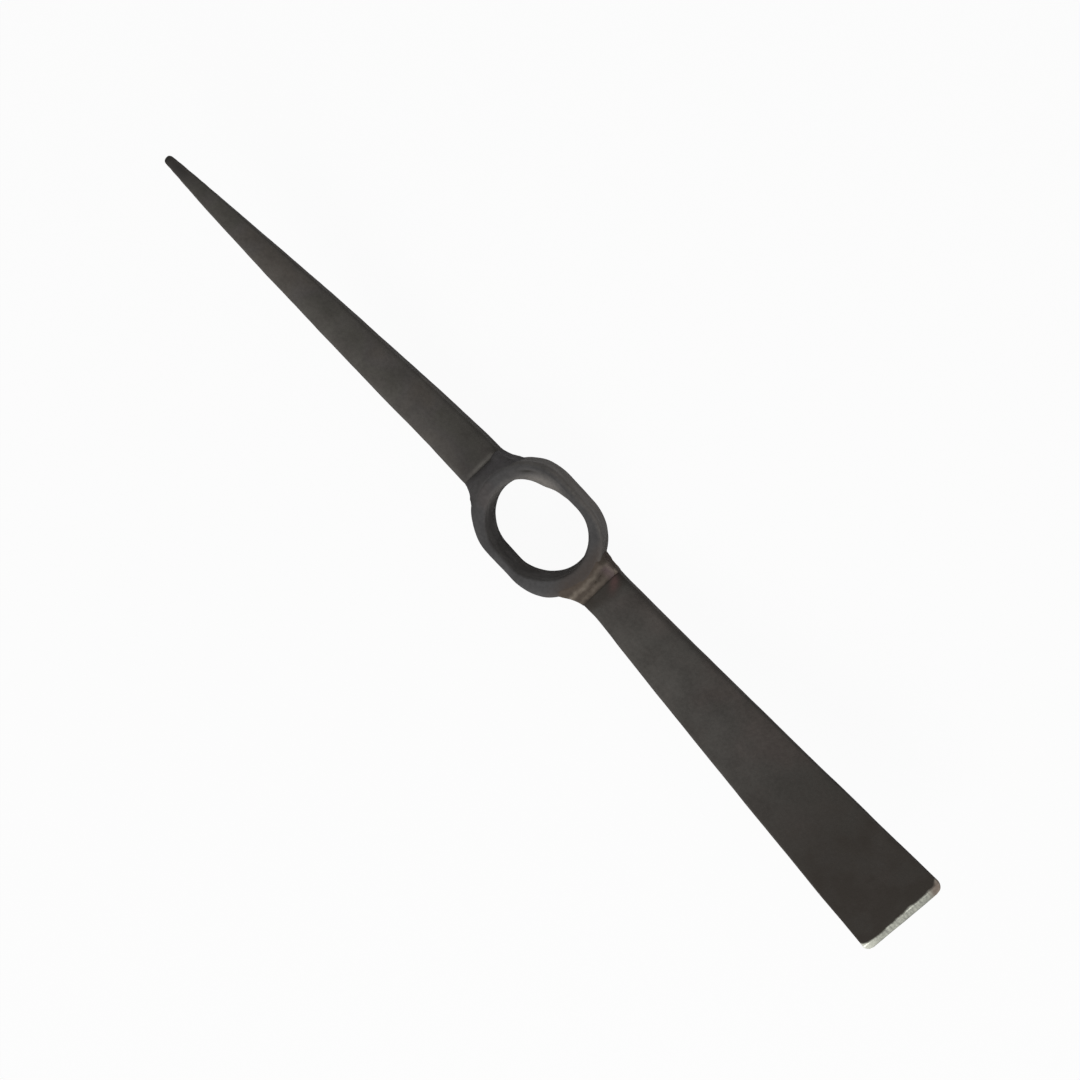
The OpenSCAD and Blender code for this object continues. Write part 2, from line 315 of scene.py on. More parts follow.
# %% [markdown]
# ## Handing over a piece
# Every piece is shaped in a bmesh and then becomes an object at the origin, with its place in
# its mesh. A forging is never quite even: each point moves along its normal by a broad hammer
# waviness and a finer one. A displacement modifier could do the same, but noise from mathutils
# needs no texture and gives the same result on every run.

# %% Hammer marks and hand-over
from mathutils import noise


def wavy(x, y, seed, size):
    """Even noise from -1 to 1 with features of that size. Each seed gives a pattern of its own."""
    return noise.noise(Vector((x, y, seed)) / size)


def hammer(bm, broad, broad_size, fine, fine_size):
    """Moves each point along its normal by two sizes of waviness."""
    bm.normal_update()
    for vert in bm.verts:
        depth = broad * noise.noise(vert.co / broad_size) + fine * noise.noise(vert.co / fine_size)
        vert.co += depth * vert.normal


def hand_over(bm, name, node, material):
    """Makes a piece in metres of a shape in millimetres, in the place of a node."""
    bmesh.ops.recalc_face_normals(bm, faces=bm.faces)
    bmesh.ops.scale(bm, vec=(MM, MM, MM), verts=bm.verts)
    mesh = bpy.data.meshes.new(name)
    bm.to_mesh(mesh)
    bm.free()
    mesh.shade_smooth()
    mesh.materials.append(material)
    piece = bpy.data.objects.new(name, mesh)
    bpy.context.scene.collection.objects.link(piece)
    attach(piece, "root")
    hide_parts(node)
    print(name, "has", len(mesh.polygons), "faces")


print("noise at one point:", round(wavy(1, 2, seed=3, size=4), 3))

# %% [markdown]
# ## The eye collar
# The collar is a forged ring with round ends and straight cheeks. A curve with a bevel would
# give it the same wall all round, but its ends are thicker than its cheeks, so it is made as a
# row of loops: up the outer wall, over the rim, down the tapered eye and back underneath, where
# the last loop is bridged to the first. Each loop is an oval with half a length a and half a
# width b, at its own height.

# %% Collar sizes
collar_a, collar_b, collar_h = 35.0, 25.75, 36.0
eye_a, eye_b, eye_draft = 26.5, 21.0, 1.0
rim_round, mouth_round, foot_round = 2.6, 1.6, 1.4
rim_a, rim_b = collar_a - rim_round, collar_b - rim_round
mouth_a, mouth_b = eye_a + mouth_round, eye_b + mouth_round
seat_x = 34.406


def oval_point(share, a, b):
    """A point on an oval with round ends of radius b, at a share of its way round."""
    straight, bend = 2 * (a - b), math.pi * b
    way = (share % 1) * 2 * (straight + bend)
    if way > straight + bend:
        x, y = oval_point(share - 0.5, a, b)
        return -x, -y
    start = bend / 2
    if way < start:
        return a - b + b * math.cos(way / b), b * math.sin(way / b)
    if way < start + straight:
        return a - b - (way - start), b
    angle = math.pi / 2 + (way - start - straight) / b
    return b - a + b * math.cos(angle), b * math.sin(angle)


def quarter(radius, steps=4):
    """Steps of a quarter round, as pairs that run from (0, radius) to (radius, 0)."""
    turns = [math.pi / 2 * step / steps for step in range(steps + 1)]
    return [(radius * (1 - math.cos(t)), radius * (1 - math.sin(t))) for t in turns]


print("collar:", 2 * collar_a, "by", 2 * collar_b, "by", collar_h)

# %% Collar loops
wall_steps, flat_steps, eye_steps = 16, 4, 20

loops = []
for inset, below in reversed(quarter(foot_round)):
    loops.append((collar_a - inset, collar_b - inset, below))
for step in range(1, wall_steps):
    z = foot_round + (collar_h - rim_round - foot_round) * step / wall_steps
    loops.append((collar_a, collar_b, z))
for inset, below in quarter(rim_round):
    loops.append((collar_a - inset, collar_b - inset, collar_h - below))
for step in range(1, flat_steps):
    share = step / flat_steps
    loops.append((rim_a + share * (mouth_a - rim_a), rim_b + share * (mouth_b - rim_b), collar_h))
for inset, below in reversed(quarter(mouth_round)):
    loops.append((eye_a + inset, eye_b + inset, collar_h - below))
for step in range(1, eye_steps):
    share = step / eye_steps
    z = (collar_h - mouth_round) * (1 - share) + foot_round * share
    taper = eye_draft * (1 - z / collar_h)
    loops.append((eye_a - taper, eye_b - taper, z))
for inset, below in quarter(foot_round):
    loops.append((eye_a - eye_draft + inset, eye_b - eye_draft + inset, below))
print("collar loops:", len(loops))

# %% [markdown]
# ## The collar's worked surface
# A ring that is forged over a mandrel is no true oval. Its outer wall bulges here and there, its
# eye sits a little askew, and its right cheek and the pick end of its rim are rubbed pale. Its left
# cheek and rim are painted lighter as painted light, and so is the eye's right wall. The eye's pick
# end has a painted highlight. At one corner the wall of the eye stands in: a fold left by the
# forging, which shows as a pale flat in the oval, partly rubbed and partly a painted highlight. A
# crease lies beside it in the upper face, carved in and darkened with painted shade. It could be
# sculpted by hand, but soft steps and bell curves over the way round and the depth can be read and
# changed.

# %% Outer wall of the collar
# Each bulge is a share of the way round, its spread there and its height
bulges = (
    (0.9, 0.05, 0.9), (0.72, 0.035, 0.3), (0.645, 0.03, -0.4), (0.585, 0.025, 0.5),
    (0.41, 0.035, 0.28), (0.36, 0.022, 0.25),
)
# Painted light on the left cheek and its rim; the right cheek and the pick end are rubbed
cheek_light_and_wear, rim_painted_light, pick_end_wear = 0.46, 0.25, 0.25
rim_middle, rim_spread = 1.1, 0.8
weld_heat, least_heat = 0.55, 0.45
# A finish sets in over a band: there is none of it at the first value and all at the second
left_rim_band, right_rim_band, pick_rim_band = (-0.05, 0.5), (3, 6), (0.2, 1.4)
pick_end_band, heat_band, heat_side_band = (-0.85, -0.97), (22, 31), (-18, -8)


def smooth(band, value):
    """Goes from 0 at a band's first value to 1 at its second, in a soft step."""
    low, high = band
    share = max(0.0, min(1.0, (value - low) / (high - low)))
    return share * share * (3 - 2 * share)


def at_least(least, band, value):
    """The same step, but from a least amount to 1."""
    return least + (1 - least) * smooth(band, value)


def bell(off):
    """A bell curve: 1 in the middle, and about a third of that one spread away."""
    return math.exp(-off ** 2)


def bulged(share):
    """How far the outer wall stands out from its oval."""
    return sum(height * bell((share - middle) / spread) for middle, spread, height in bulges)


def wall_light_and_wear(outward, deep):
    """How much the outer wall is painted lighter: its left cheek up to the rim, and the rim, as painted
    light, and its right one lower down, where it is rubbed.
    """
    if outward.y > 0:
        rubbed_and_lit = smooth(left_rim_band, deep) + rim_painted_light * bell((deep - rim_middle) / rim_spread)
    else:
        rubbed_and_lit = smooth(right_rim_band, deep)
    at_pick = pick_end_wear * smooth(pick_end_band, outward.x) * smooth(pick_rim_band, deep)
    return max(cheek_light_and_wear * rubbed_and_lit * abs(outward.y), at_pick)


def heat_stain(x, y):
    """The brown that the blade's weld left on that end of the collar, less of it on the right."""
    return weld_heat * smooth(heat_band, x) * at_least(least_heat, heat_side_band, y)


print("bulges of the outer wall:", len(bulges), "up to", max(height for _, _, height in bulges), "mm")

# %% Wall of the eye
eye_shift, eye_stretch, eye_skew, eye_rounding, mouth_flare = -0.45, 0.45, 0.5, 0.42, 0.4
skew_band, rounding_band, rounding_side_band = (5, 25), (6, 18), (0.0, -0.5)
flare_band, flare_side_band = (5, 0), (-0.6, -0.95)
# The fold: its peak's share of the way round, its spread before and after it, and its depth
fold_share, fold_before, fold_after, fold_depth = 0.34, 0.105, 0.09, 4.0
fold_soft, fold_run_in = 0.15, 7
# The crease beside it: its place and size along the fold in spreads, and out from the eye's mouth
crease_along, crease_length, crease_out, crease_width, crease_depth = 0.66, 0.22, 1.0, 0.8, 0.4
# Painted shade darkens the crease
crease_painted_shade = 0.9
# The eye is painted lighter: the fold partly rubbed and partly a painted highlight, its pick end a painted
# highlight, its right wall painted light in the eye's shade
pale_before, pale_after, pale_rise = 0.8, 1.1, 0.6
eye_light_and_wear, fold_light_and_wear, mouth_light_and_wear, eye_end_highlight, eye_right_light = 0.6, 0.04, 0.25, 0.6, 0.4
eye_rim_band, mouth_band, eye_end_band, eye_right_band = (-0.6, 2.0), (4.5, 0), (-0.7, -0.95), (0.1, -0.5)


def eye_offset(x, outward, deep, inside):
    """How far the eye lies off its oval, in x and in y."""
    rounder = eye_rounding * smooth(rounding_band, abs(x)) * smooth(rounding_side_band, outward.y)
    flare = mouth_flare * smooth(flare_side_band, outward.y) * smooth(flare_band, deep) * inside
    return eye_shift + eye_stretch * x / eye_a, eye_skew * smooth(skew_band, x) + rounder - flare


def folded(share):
    """The fold's height from 0 to 1: a straight slope up to a soft peak, and a bell's side down."""
    off = share - fold_share
    slope, side = 1 + off / fold_before, bell(off / fold_after)
    slope = (slope + math.hypot(slope, fold_soft)) / 2
    return (slope + side - math.hypot(slope - side, fold_soft * side)) / 2


def along_fold(share):
    """How far a place lies from the fold's peak, in spreads of the fold."""
    off = share - fold_share
    return off / (fold_before if off < 0 else fold_after)


def creased(share, from_mouth):
    """The depth of the crease from 0 to 1, at a distance out from the eye's mouth."""
    return bell(math.hypot(
        (along_fold(share) - crease_along) / crease_length, (from_mouth - crease_out) / crease_width))


def eye_wall_light_and_wear(share, outward, deep, from_mouth):
    """How much the eye is painted lighter: most on the fold, partly rubbed and partly a painted highlight,
    less on its pick end, a painted highlight, and on its right wall, painted light in the eye's shade.
    """
    off = along_fold(share)
    pale = bell(off / (pale_before if off < 0 else pale_after))
    if from_mouth >= 0:
        return mouth_light_and_wear * pale * smooth(mouth_band, from_mouth) * (1 - creased(share, from_mouth))
    rubbed_and_lit = max(pale, eye_end_highlight * smooth(eye_end_band, outward.x),
                 eye_right_light * smooth(eye_right_band, outward.y))
    return (eye_light_and_wear + fold_light_and_wear * pale) * rubbed_and_lit * smooth(eye_rim_band, deep + pale_rise * pale)


print("the fold stands in by", fold_depth, "mm")

# %% Collar mesh
around = 176
rim_slack = 0.1
collar_twist, collar_shift = math.radians(-1.7), -0.4


def only(kind, parts):
    return [part for part in parts if isinstance(part, kind)]


def draw_out(bm, edges):
    """Extrudes a loop of edges and returns the new loop's vertices and edges."""
    made = bmesh.ops.extrude_edge_only(bm, edges=edges)["geom"]
    verts = only(bmesh.types.BMVert, made)
    kept = set(verts)
    return verts, [edge for edge in only(bmesh.types.BMEdge, made) if set(edge.verts) <= kept]


bm = bmesh.new()
bmesh.ops.create_circle(bm, segments=around, radius=1)
share_layer, soot, rust, wear = [
    bm.verts.layers.float.new(name) for name in ("share", "soot", "rust", "wear")]
for index, vert in enumerate(bm.verts):
    vert[share_layer] = index / around
first_loop = edges = bm.edges[:]
verts = bm.verts[:]
for number, (a, b, z) in enumerate(loops):
    if number:
        verts, edges = draw_out(bm, edges)
    deep, from_mouth = collar_h - z, a - mouth_a
    for vert in verts:
        share = vert[share_layer]
        x, y = oval_point(share, a, b)
        vert.co = (max(-seat_x, min(seat_x, x)), y, z)
        outward = Vector((x, y, 0)).normalized()
        vert[rust] = heat_stain(x, y)
        if a > rim_a - rim_slack:
            vert.co += bulged(share) * outward
            # The outer wall: painted light on its left cheek and rim, rubbed wear elsewhere
            vert[soot], vert[wear] = 0.0, wall_light_and_wear(outward, deep)
        else:
            crease = creased(share, from_mouth)
            vert.co += Vector((*eye_offset(x, outward, deep, from_mouth < 0), -crease_depth * crease))
            vert.co -= fold_depth * folded(share) * min(1.0, deep / fold_run_in) * outward
            # Painted shade in the crease
            vert[soot] = crease_painted_shade * crease
            # Painted highlights and painted light on the eye's wall, partly rubbed on the fold
            vert[wear] = eye_wall_light_and_wear(share, outward, deep, from_mouth)
bmesh.ops.bridge_loops(bm, edges=edges + first_loop)
hammer(bm, broad=0.22, broad_size=17, fine=0.07, fine_size=5)
bmesh.ops.rotate(bm, matrix=Matrix.Rotation(collar_twist, 3, "Z"), verts=bm.verts)
bmesh.ops.translate(bm, vec=(0, collar_shift, 0), verts=bm.verts)
for vert in bm.verts:
    vert.co.z = max(vert.co.z, 0)
hand_over(bm, "collar_forging", "eye_collar", collar_steel)

# %% [markdown]
# ## The two arms
# Each arm is a bar that the smith drew out: the pick tapers in both ways to a blunt point, and
# the blade spreads while it thins. Both are lofted. A square gets round corners from a vertex
# bevel, its sides are cut into short edges, and then the loop is extruded along the arm and
# fitted to the arm's width, thickness and corner round at each station. Each vertex keeps its
# place in the unit square in a layer, which extruding copies.

# %% Section of a bar
unit_corner = 0.3
unit_flat = 1 - unit_corner
corner_wear, corner_worn_share = 0.5, 0.7


def bar_section(bm, side_cuts, corner_cuts, stains):
    """A unit square with round corners. Returns its loop and the layers that hold each place."""
    bmesh.ops.create_grid(bm, x_segments=1, y_segments=1, size=1)
    bmesh.ops.bevel(bm, geom=bm.verts[:], offset=unit_corner, affect="VERTICES",
                    segments=corner_cuts, profile=0.5, material=-1)
    sides = [edge for edge in bm.edges if edge.calc_length() > 1]
    bmesh.ops.subdivide_edges(bm, edges=sides, cuts=side_cuts)
    u, v, edge, *rest = [bm.verts.layers.float.new(name) for name in ("u", "v", "edge", *stains)]
    for vert in bm.verts:
        corner = min(abs(vert.co.x), abs(vert.co.y)) - unit_flat
        vert[u], vert[v] = vert.co.x, vert.co.y
        vert[edge] = corner_wear * max(0.0, min(1.0, corner / (corner_worn_share * unit_corner)))
    return bm.verts[:], bm.edges[:], (u, v, edge, *rest)


def fit(unit, half, corner):
    """A place in the unit square, fitted to half a size with that corner round."""
    if abs(unit) <= unit_flat:
        return unit / unit_flat * (half - corner)
    return math.copysign(half - corner + corner * (abs(unit) - unit_flat) / unit_corner, unit)


def middling(share):
    """Rises from 0 at both ends of an arm to 1 half way."""
    return 4 * share * (1 - share)


def drawn(root, end, share, swell):
    """A size of an arm at a share of its way. The swell is what it gains on each side half way."""
    return root + (end - root) * share + 2 * swell * middling(share)


def risen(share, bend):
    """How far an arm has risen, from 0 to 1: level at its root, then along a soft bend."""
    return (math.hypot(share, bend) - bend) / (math.hypot(1, bend) - bend)


print("a unit section has a corner of", unit_corner)

# %% [markdown]
# ## The pick arm
# The pick starts in a nose that is hidden in the weld. Where the weld ends, the bar's upper edge
# rolls over into a narrow crease, and a painted highlight lies on the rolled lip. From there it
# tapers to a rounded point, which digging has left dark and a little pitted. Its upper face is
# painted lighter along its right side, as painted light. A cone would be quicker to make, but
# the stations keep the bar's square section and its crowned faces all the way.

# %% Pick arm stations
# The reach is how far an arm goes from the middle of the eye
pick_reach = 248.5
pick_len = pick_reach - seat_x
pick_root, pick_tip, pick_swell = (22.5, 25.0), (4.4, 4.4), 1.25
pick_rise, pick_bend, pick_straight, pick_groove = 46.0, 0.2, 13.0, 6.5
seat_w, pick_nose = 11.0, 11.0
nose_middle = (2.6, 14.5, 16.0)
mid_z = collar_h / 2
taper_steps, cap_steps, cap_turn = 130, 7, math.radians(84)
# How far the upper edge is rolled over, at distances from the seat
lips = (
    (4.0, 3.0), (4.4, 2.3), (4.8, 1.7), (5.2, 1.25), (5.6, 0.9), (6.1, 0.58), (6.7, 0.3),
    (7.4, 0.12), (8.4, 0.0), (9.5, 0.0), (11.0, 0.0), (pick_straight, 0.0),
)

# Each station is a distance from the seat, a width, a thickness, a rise and a lip
stations = [(0.0, seat_w, pick_nose, 0.0, 0.0), (*nose_middle, 0.0, 0.0)]
stations += [(x, *pick_root, 0.0, lip) for x, lip in lips]
cap = pick_tip[0] / 2
taper = pick_len - cap - pick_straight
for step in range(1, taper_steps + 1):
    share = step / taper_steps
    stations.append((
        pick_straight + share * taper,
        drawn(pick_root[0], pick_tip[0], share, pick_swell),
        drawn(pick_root[1], pick_tip[1], share, pick_swell),
        pick_rise * risen(share, pick_bend), 0.0,
    ))
for step in range(1, cap_steps + 1):
    turn = cap_turn * step / cap_steps
    stations.append((
        pick_len - cap + cap * math.sin(turn),
        pick_tip[0] * math.cos(turn), pick_tip[1] * math.cos(turn), pick_rise, 0.0,
    ))
print("pick stations:", len(stations))

# %% Pick arm finish
# Bands lie along the arm, in millimetres from the seat or shares of its taper, or across it
root_swell, right_swell, swell_band, nose_band = 0.35, 0.35, (0.1, 0.0), (2, 5)
tip_soot, root_soot, left_fade = 0.95, 0.25, 0.7
tip_soot_band, root_soot_band, left_fade_band = (0.9, 0.98), (0.14, 0.0), (0, 8)
# A painted highlight on the rolled lip, and painted light along the upper face's right side
lip_middle, lip_spread, lip_highlight, lip_highlight_change, lip_patches = 6.8, 0.9, 0.75, 0.4, 3
face_painted_light, face_fade, lip_right_band, face_side_band = 0.28, 0.7, (0, -8), (0.3, -0.8)
face_start_band, face_fade_band = (6, 30), (0.55, 0.9)


def pick_half(x, w, share, on_right):
    """Half the pick's width on one side: both swell at the root, and the right one half way."""
    half = w / 2 + root_swell * smooth(swell_band, share) * smooth(nose_band, x)
    return half + right_swell * middling(min(share, 1.0)) if on_right else half


def pick_soot(share, y):
    """Soot on the point, and a little at the root."""
    by_weld = root_soot * smooth(root_soot_band, share) * (1 - left_fade * smooth(left_fade_band, y))
    return tip_soot * smooth(tip_soot_band, share) + by_weld


def pick_face_light(x, y, share, half, rolled):
    """How much the upper face is painted lighter: a painted highlight in patches on the rolled lip, and
    painted light along its right side.
    """
    lip = rolled * bell((x - lip_middle) / lip_spread)
    lip *= lip_highlight - lip_highlight_change * (smooth(lip_right_band, y) - wavy(x, y, seed=0, size=lip_patches))
    side = face_painted_light * smooth(face_side_band, y / half)
    side *= smooth(face_start_band, x) * (1 - face_fade * smooth(face_fade_band, share))
    return max(lip, side)


print("the pick's lip is brightest", lip_middle, "mm from its seat")

# %% Pick arm
pick_corner_share, pick_crown = 3.5 / pick_root[0], 1.8
lip_left_band, corner_wear_band = (7, 10.5), (6, 12)
tip_shift, tip_band = 0.3, (0.8, 1)
pit_height, pit_size, pit_band = 0.16, 2.6, (-205, -240)

bm = bmesh.new()
verts, edges, (u, v, edge, wear, soot) = bar_section(
    bm, side_cuts=11, corner_cuts=6, stains=("wear", "soot"))
for number, (x, w, t, rise, lip) in enumerate(stations):
    if number:
        verts, edges = draw_out(bm, edges)
    corner = pick_corner_share * min(w, t)
    share = max(0.0, (x - pick_straight) / taper)
    for vert in verts:
        half = pick_half(x, w, share, vert[u] < 0)
        y, z = fit(vert[u], half, corner), fit(vert[v], t / 2, corner)
        rolled = 1 - smooth(lip_left_band, y)
        z -= vert[v] * (pick_crown * w / pick_root[0] * (y / half) ** 2 + lip * rolled)
        vert.co = (-seat_x - x, y + tip_shift * smooth(tip_band, share), mid_z + rise + z)
        vert[soot] = pick_soot(share, y)
        on_top = vert[v] > unit_flat
        # Painted highlight on the lip and painted light on the right of the upper face
        face = pick_face_light(x, y, share, half, rolled) if on_top else 0.0
        vert[wear] = max(vert[edge] * smooth(corner_wear_band, x), face)
bmesh.ops.contextual_create(bm, geom=edges)
hammer(bm, broad=0.25, broad_size=24, fine=0.08, fine_size=6)
for vert in bm.verts:
    pitted = pit_height * smooth(pit_band, vert.co.x)
    vert.co += pitted * noise.noise(vert.co / pit_size) * vert.normal
hand_over(bm, "pick_forging", "pick_arm", pick_steel)

# %% [markdown]
# ## The mattock blade
# The blade is one more drawn bar, but its last few millimetres are ground on the upper face to a
# bright edge. A second piece could carry the bright steel, but on the real blade the grinding is
# part of the same solid. So a ground attribute on the vertices tells the material where bare
# steel shows, and noise makes the border ragged. One corner was hardly ground and has
# tarnished brown, and the other one is polished by use.

# %% Ground blade steel
border_patches, border_raggedness, border_low, border_high = 4.5, 0.3, 0.53, 0.7
stroke_width, stroke_stretch = 1.2, 0.12
bare_roughness = 0.42

# Scaled steel with a ground edge: black and dull, then bright grey with strokes across the edge; its worn
# tone is also painted light along the upper face's right side
blade_steel = forge_scale(
    "ground_blade_steel", tones=("3e3b38", "413f3c", "43403d", "46413e"),
    soot="332f2b", rust="4e3d3b", worn_and_lit="5c5955")
tree = blade_steel.node_tree
place = add(tree, "TexCoord").outputs["Object"]
ragged = add(tree, "TexNoise", {
    "Vector": place, "Scale": per_mm(border_patches), "Detail": 2}).outputs["Fac"]
depth = add(tree, "Attribute", attribute_name="ground").outputs["Fac"]
border = add(tree, "Math", {0: ragged, 1: border_raggedness, 2: depth},
             operation="MULTIPLY_ADD").outputs[0]
bare = add(tree, "MapRange", {
    "Value": border, "From Min": border_low, "From Max": border_high}).outputs[0]
strokes = add(tree, "Mapping", {"Vector": place, "Scale": (stroke_stretch, 1, 1)}).outputs[0]
marks = add(tree, "TexNoise", {
    "Vector": strokes, "Scale": per_mm(stroke_width), "Detail": 2}).outputs["Fac"]
steel = add(tree, "ValToRGB", {"Fac": marks})
dark_stroke, pale_stroke = steel.color_ramp.elements
dark_stroke.position, dark_stroke.color = 0.3, linear("80817a")
pale_stroke.position, pale_stroke.color = 0.7, linear("a6a79c")
print("blade steel has", len(tree.nodes), "nodes with its ground steel")

# %% Corners of the edge
polished = add(tree, "Attribute", attribute_name="polish").outputs["Fac"]
tarnished = add(tree, "Attribute", attribute_name="tarnish").outputs["Fac"]
bright = add(tree, "Mix", {"Factor": polished, 6: steel.outputs[0], 7: linear("b6b7ac")},
             data_type="RGBA").outputs[2]
brown = add(tree, "Mix", {"Factor": ragged, 6: linear("564a42"), 7: linear("948a80")},
            data_type="RGBA").outputs[2]
edge_colour = add(tree, "Mix", {"Factor": tarnished, 6: bright, 7: brown}, data_type="RGBA").outputs[2]
clean = add(tree, "Math", {0: 1.0, 1: tarnished}, operation="SUBTRACT").outputs[0]
metal = add(tree, "Math", {0: bare, 1: clean}, operation="MULTIPLY").outputs[0]

shader = tree.nodes["Principled BSDF"]
scale_colour = shader.inputs["Base Color"].links[0].from_socket
scale_roughness = shader.inputs["Roughness"].links[0].from_socket
colour = add(tree, "Mix", {"Factor": bare, 6: scale_colour, 7: edge_colour}, data_type="RGBA").outputs[2]
roughness = add(tree, "Mix", {0: metal, 2: scale_roughness, 3: bare_roughness}).outputs[0]
tree.links.new(colour, shader.inputs["Base Color"])
tree.links.new(metal, shader.inputs["Metallic"])
tree.links.new(roughness, shader.inputs["Roughness"])
print("blade steel has", len(tree.nodes), "nodes with its corners")

# %% Blade sections
blade_reach = 254.8
blade_len = blade_reach - seat_x
blade_root, blade_edge, blade_dish = (23.5, 19.0), (48.0, 3.6), 0.9
blade_rise, blade_bend, blade_straight, blade_groove = 46.0, 0.06, 16.0, 8.0
blade_corner_share, blade_nose = 3.0 / blade_root[1], 9.0
bevel_len, edge_land, left_round, right_round = 3.4, 0.7, 5.0, 3.6
# How much wider than drawn each side is at the root and half way
left_root, left_middle, right_root, right_middle, root_band = 0.55, -0.35, -0.3, 0.75, (0.12, 0.0)
run_steps, end_steps = 130, 14

places = [0.0, 4.0, 7.6, blade_groove, 8.6, 10.0, 12.0, 14.0, blade_straight]
end_zone = max(bevel_len, left_round, right_round)
run = blade_len - end_zone - blade_straight
places += [blade_straight + run * step / run_steps for step in range(1, run_steps + 1)]
places += [blade_len - end_zone * math.cos(math.pi / 2 * step / end_steps)
           for step in range(1, end_steps + 1)]


def corner_inset(radius, to_edge):
    """How far a round corner lies inside the blade's width."""
    into = max(0.0, radius - to_edge)
    return radius - math.sqrt(max(0.0, radius ** 2 - into ** 2))


def blade_section(x):
    """Both half widths, lowest and highest point, corner round and share of the way, at a station."""
    if x < blade_groove:
        share = x / blade_groove
        w, t = drawn(seat_w, blade_root[0], share, 0), drawn(blade_nose, blade_root[1], share, 0)
        return w / 2, w / 2, -t / 2, t / 2, blade_corner_share * min(w, t), 0.0
    share = max(0.0, (x - blade_straight) / (blade_len - blade_straight))
    w = drawn(blade_root[0], blade_edge[0], share, 0)
    t = drawn(blade_root[1], blade_edge[1], share, -blade_dish)
    mid = blade_rise * risen(share, blade_bend)
    to_edge, at_root, half_way = blade_len - x, smooth(root_band, share), middling(share)
    left = w / 2 + left_root * at_root + left_middle * half_way - corner_inset(left_round, to_edge)
    right = w / 2 + right_root * at_root + right_middle * half_way - corner_inset(right_round, to_edge)
    ground_off = (t - edge_land) * max(0.0, 1 - to_edge / bevel_len)
    return left, right, mid - t / 2, mid + t / 2 - ground_off, blade_corner_share * (t - ground_off), share


print("blade stations:", len(places))

# %% Blade finish
# How far the grinding reaches back: everywhere, less on the right half, more at both corners
reach_all, reach_right, reach_left_end, reach_right_end = 0.3, -0.7, 2.0, 1.4
reach_right_band, left_end_band, right_end_bands = (6, -10), (20.2, 23.2), ((-18, -24), (-22, -24))
weld_soot, weld_soot_right, weld_soot_band, weld_soot_shift = 0.65, 0.3, (17.5, 11.5), (-3, -1)
soot_right_band, end_soot, end_soot_band = (3, 9), 0.85, (0.4, 0.88)
rust_line, rust_middle, rust_width, rust_length = 17.6, 10.2, math.sqrt(7), 3.0
# Painted light along the upper face's right side
side_painted_light, side_light_band, side_end_band = 0.14, (0.2, -0.7), (0.75, 0.3)
root_wear, root_start_band, root_end_band = 0.18, (0.02, 0.1), (0.36, 0.2)


def grinding(y, to_edge):
    """How deep in the ground strip a place lies: 1 at the edge, and 0 at twice the bevel's length."""
    reach = reach_all + reach_right * smooth(reach_right_band, y)
    reach += reach_left_end * smooth(left_end_band, y)
    reach += reach_right_end * sum(smooth(band, y) for band in right_end_bands)
    return max(0.0, 1 - (to_edge - reach) / (2 * bevel_len))


def blade_soot(x, y, share):
    """Soot behind the weld, more of it on the right, and along the last half of the blade."""
    on_right = smooth(soot_right_band, -y)
    band = [place + shift * on_right for place, shift in zip(weld_soot_band, weld_soot_shift)]
    by_weld = (weld_soot + weld_soot_right * on_right) * smooth(band, x)
    return max(by_weld, end_soot * smooth(end_soot_band, share))


def blade_rust(x, y):
    """A patch of red rust that runs slanting from the weld."""
    return bell(math.hypot((x + y - rust_line) / rust_width, (x - rust_middle) / rust_length))


def blade_face_light_and_wear(y, share, half):
    """How much the upper face is lightened: painted light along its right side, and rubbed a little way from
    the weld.
    """
    side = side_painted_light * smooth(side_light_band, y / half) * smooth(side_end_band, share)
    return side + root_wear * smooth(root_start_band, share) * smooth(root_end_band, share)


print("the ground strip reaches back", round(2 * bevel_len, 1), "mm, and more at its corners")

# %% Blade
blade_crown, edge_skew = 1.6, math.tan(math.radians(3))
tarnish_y, tarnish_band, polish_band = 24, (9.5, 5), (-14, -23)
left_corner_wear, right_corner_wear, blade_wear_band = 0.8, 0.5, (8, 20)

bm = bmesh.new()
stains = ("wear", "soot", "rust", "ground", "tarnish", "polish")
verts, edges, (u, v, edge, wear, soot, rust, ground, tarnish, polish) = bar_section(
    bm, side_cuts=23, corner_cuts=5, stains=stains)
for number, x in enumerate(places):
    if number:
        verts, edges = draw_out(bm, edges)
    left, right, low, high, corner, share = blade_section(x)
    to_edge = blade_len - x
    for vert in verts:
        on_left, on_top = vert[u] > 0, vert[v] > unit_flat
        half = left if on_left else right
        y = fit(vert[u], half, corner)
        z = (low + high) / 2 + fit(vert[v], (high - low) / 2, corner)
        z -= vert[v] * blade_crown * (high - low) / blade_root[1] * (y / half) ** 2
        vert.co = (seat_x + x + edge_skew * share ** 2 * y, y, mid_z + z)
        vert[ground] = grinding(y, to_edge) if vert[v] > 0 else 0.0
        vert[tarnish] = smooth(tarnish_band, math.hypot(to_edge, tarnish_y - y))
        vert[polish] = smooth(polish_band, y)
        vert[soot], vert[rust] = blade_soot(x, y, share), blade_rust(x, y)
        at_corner = vert[edge] * (left_corner_wear if on_left else right_corner_wear)
        # Painted light on the right of the upper face, with rubbed wear by the weld
        face = blade_face_light_and_wear(y, share, half) if on_top else 0.0
        vert[wear] = max(at_corner, face) * smooth(blade_wear_band, x)
bmesh.ops.contextual_create(bm, geom=edges)
hammer(bm, broad=0.22, broad_size=26, fine=0.06, fine_size=7)
hand_over(bm, "blade_forging", "mattock_blade", blade_steel)

